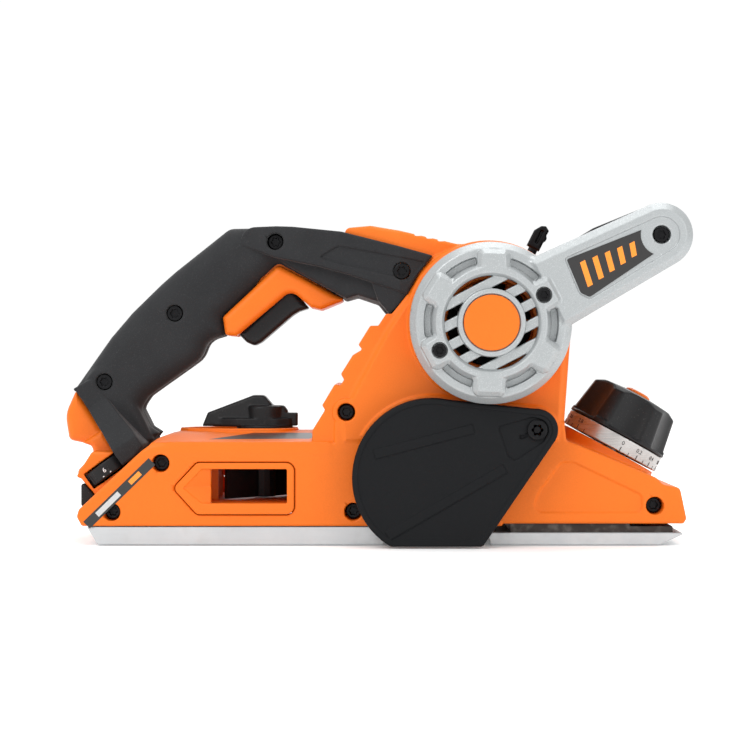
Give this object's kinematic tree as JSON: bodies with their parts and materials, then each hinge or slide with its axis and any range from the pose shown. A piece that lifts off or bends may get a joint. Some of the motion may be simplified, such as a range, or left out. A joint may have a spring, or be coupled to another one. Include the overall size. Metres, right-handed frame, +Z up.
{
  "type": "electric hand planer",
  "caption": "Hand-held electric planer with a belt-driven cutter drum, turning depth knob, sliding front shoe, sprung side guard, two-sided chip port, rear D-handle and front bar handle.",
  "frame": {"origin": "on the rear sole's plane and the centre line of the soles, 4 mm behind the rear sole's front lip at the cutter mouth", "axes": "+X forward along the sole in the cutting direction, +Y to the machine's left, +Z up from the sole"},
  "size_m": [0.3062, 0.144, 0.1643],
  "materials": {
    "body_orange": "semi-gloss moulded plastic with a fine grain",
    "soft_grip": "matt soft-touch moulding",
    "black_plastic": "fine-textured black plastic",
    "silver_casting": "silver metallic paint",
    "sole_aluminium": "machined casting",
    "scale_ring": "turned, with stamped marks",
    "steel": "plain steel",
    "carbon": "pressed carbon"
  },
  "bodies": {
    "housing": {"housing_right": "body_orange", "housing_left": "body_orange", "port_bezel_right": "body_orange", "port_bezel_left": "body_orange", "belt_cover": "body_orange", "cover_badge": "body_orange", "grip_right": "soft_grip", "grip_left": "soft_grip", "front_handle_bar": "soft_grip", "rear_bumper": "soft_grip", "cable_gland": "soft_grip", "drive_belt": "soft_grip", "switch_body": "black_plastic", "control_module": "black_plastic", "chip_duct": "black_plastic", "fan_cover": "silver_casting", "handle_arm_left": "silver_casting", "rear_shoe": "sole_aluminium", "housing_screw_1": "steel", "housing_screw_2": "steel", "housing_screw_3": "steel", "housing_screw_4": "steel", "housing_screw_5": "steel", "trigger_spring": "steel", "depth_spring": "steel", "drum_bearing_right": "steel", "drum_bearing_left": "steel", "motor_bearing_right": "steel", "motor_bearing_left": "steel", "stator": "steel", "cover_screw_1": "steel", "cover_screw_2": "steel", "guard_pivot_screw": "steel", "brush_front": "carbon", "brush_rear": "carbon"},
    "drum": {"cutter_drum": "sole_aluminium", "drum_shaft": "steel", "blade_1": "steel", "blade_2": "steel", "blade_clamp_1": "steel", "blade_clamp_2": "steel", "drum_pulley": "sole_aluminium"},
    "rotor": {"armature": "steel", "motor_pulley": "steel", "cooling_fan": "black_plastic"},
    "depth_dial": {"depth_knob": "black_plastic", "depth_scale_ring": "scale_ring", "knob_cap": "body_orange"},
    "infeed_shoe": {"front_shoe": "sole_aluminium", "depth_screw": "steel"},
    "guard": {"side_guard": "black_plastic", "guard_spring": "steel"},
    "trigger": {"trigger": "black_plastic"},
    "lock": {"lock_button": "black_plastic"},
    "speed_dial": {"speed_dial": "black_plastic"},
    "selector": {"chip_selector": "black_plastic", "chip_flap": "black_plastic"},
    "wrench": {"blade_wrench": "black_plastic"}
  },
  "joints": [
    {"name": "drum_spin", "type": "hinge", "parent": "housing", "child": "drum", "pos_m": [0.0286, 0, 0.028], "axis": [0, -1, 0], "continuous": true},
    {"name": "rotor_spin", "type": "hinge", "parent": "housing", "child": "rotor", "pos_m": [0.055, 0, 0.1073], "axis": [0, -1, 0], "continuous": true},
    {"name": "depth_knob_turn", "type": "hinge", "parent": "housing", "child": "depth_dial", "pos_m": [0.1187, 0, 0.0451], "axis": [0.4772, 0, 0.8788], "range_deg": [0, 324]},
    {"name": "infeed_shoe_slide", "type": "slide", "parent": "housing", "child": "infeed_shoe", "axis": [0.4772, 0, 0.8788], "range_m": [0, 0.003], "deforming": ["depth_spring"]},
    {"name": "side_guard_swing", "type": "hinge", "parent": "housing", "child": "guard", "pos_m": [0.0775, 0, 0.0563], "axis": [0, 1, 0], "range_deg": [0, 20], "stiffness_Nm_per_rad": 0.06, "springref_deg": -28.65},
    {"name": "trigger_pull", "type": "hinge", "parent": "housing", "child": "trigger", "pos_m": [-0.038, 0, 0.121], "axis": [0, 1, 0], "range_deg": [0, 8], "stiffness_Nm_per_rad": 0.8, "springref_deg": -5.73, "deforming": ["trigger_spring"]},
    {"name": "lock_button_push", "type": "slide", "parent": "housing", "child": "lock", "axis": [0, -1, 0], "range_m": [0, 0.003], "stiffness_N_per_m": 600, "springref_m": -0.0005},
    {"name": "speed_dial_turn", "type": "hinge", "parent": "housing", "child": "speed_dial", "pos_m": [-0.133, -0.019, 0.0355], "axis": [-0.5835, 0, 0.8121], "range_deg": [-270, 0]},
    {"name": "chip_selector_turn", "type": "hinge", "parent": "housing", "child": "selector", "pos_m": [-0.056, 0, 0.056], "axis": [0, 0, -1], "range_deg": [0, 90]},
    {"name": "wrench_pull", "type": "slide", "parent": "housing", "child": "wrench", "axis": [0.45, 0, 0.893], "range_m": [0, 0.03]}
  ],
  "couplings": [
    {"joint": "rotor_spin", "follows": "drum_spin", "ratio": 1.8182},
    {"joint": "depth_knob_turn", "follows": "infeed_shoe_slide", "rad_per_m": 1885}
  ]
}
